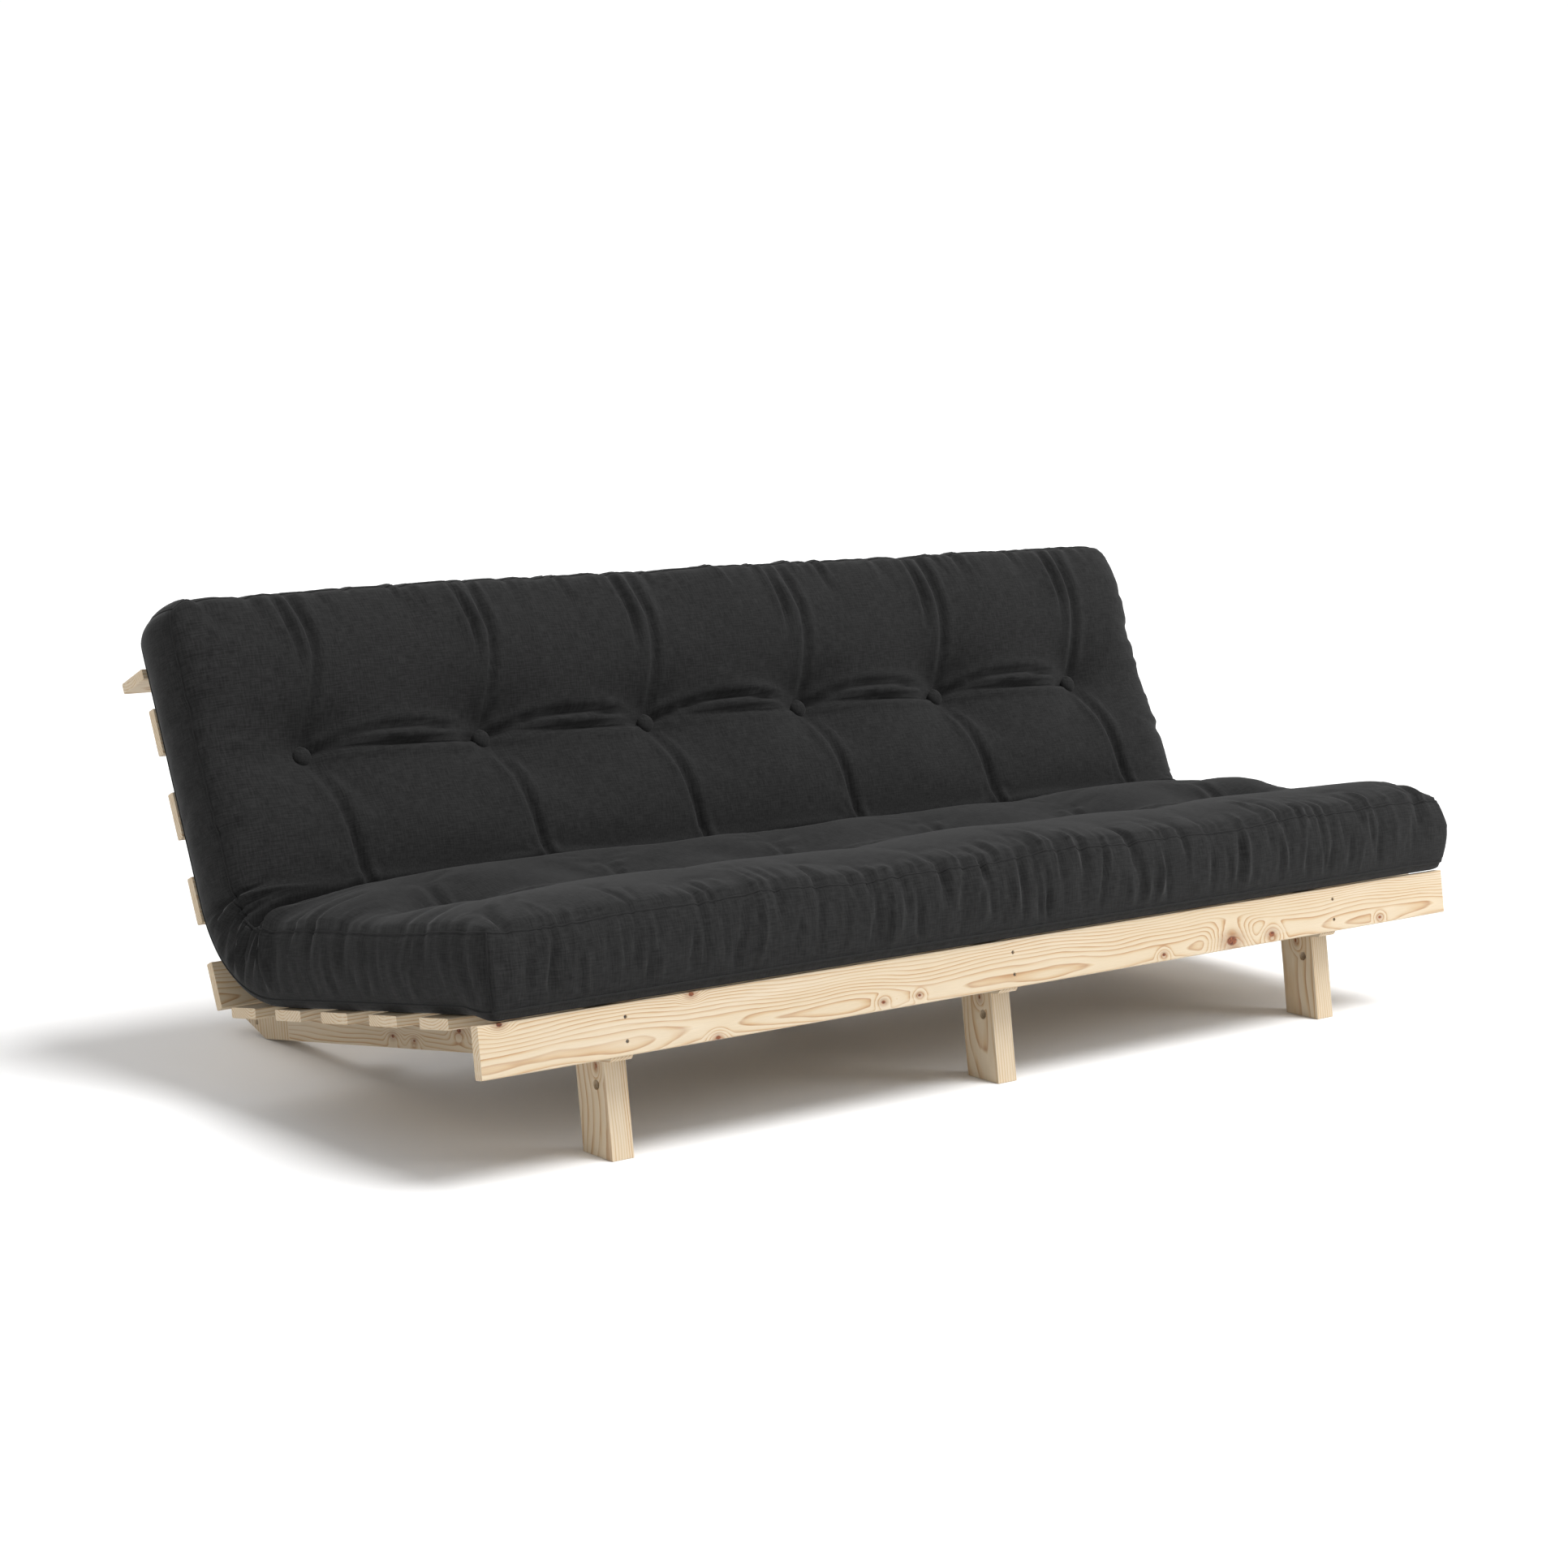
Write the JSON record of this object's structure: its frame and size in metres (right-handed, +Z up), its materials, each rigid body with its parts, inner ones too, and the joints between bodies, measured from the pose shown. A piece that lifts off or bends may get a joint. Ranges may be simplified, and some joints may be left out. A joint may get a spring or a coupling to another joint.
{
  "type": "futon sofa bed",
  "caption": "Low slatted pine sofa bed with a folding buttoned mattress; the back frame turns down on hinge bolts between the beams and uprights.",
  "frame": {"origin": "on the floor, under the centre of the bounding box", "axes": "+X along the sofa to the sitter's left, -Y is the front, +Z up"},
  "size_m": [1.9, 1.0624, 0.7152],
  "materials": {
    "pine": "raw planed softwood",
    "beech_dowel": "raw beech",
    "zinc_steel": "zinc plated",
    "knob_bolt": "black coated",
    "mattress_cotton": "matt plain weave",
    "button_cotton": "matt plain weave"
  },
  "bodies": {
    "seat_frame": {"front_rail": "pine", "seat_slat_1": "pine", "seat_slat_2": "pine", "seat_slat_3": "pine", "seat_slat_4": "pine", "seat_slat_5": "pine", "beam_left": "pine", "beam_middle": "pine", "beam_right": "pine", "beam_heel_left": "pine", "beam_heel_middle": "pine", "beam_heel_right": "pine", "front_leg_left": "pine", "front_leg_middle": "pine", "front_leg_right": "pine", "rail_screws": "zinc_steel", "seat_slat_screws": "zinc_steel", "leg_screws": "zinc_steel", "heel_dowels": "beech_dowel", "hinge_inserts": "zinc_steel", "hinge_bolts": "knob_bolt", "hinge_washers": "zinc_steel", "seat_mattress": "mattress_cotton", "seat_buttons": "button_cotton"},
    "back_frame": {"upright_left": "pine", "upright_middle": "pine", "upright_right": "pine", "back_slat_1": "pine", "back_slat_2": "pine", "back_slat_3": "pine", "back_slat_4": "pine", "top_board": "pine", "back_slat_screws": "zinc_steel", "top_board_screws": "zinc_steel", "back_mattress": "mattress_cotton", "back_buttons": "button_cotton"}
  },
  "joints": [
    {"name": "back_fold", "type": "hinge", "parent": "seat_frame", "child": "back_frame", "pos_m": [0, 0.17674, 0.06972], "axis": [-1, 0, 0], "range_deg": [0, 69]}
  ]
}
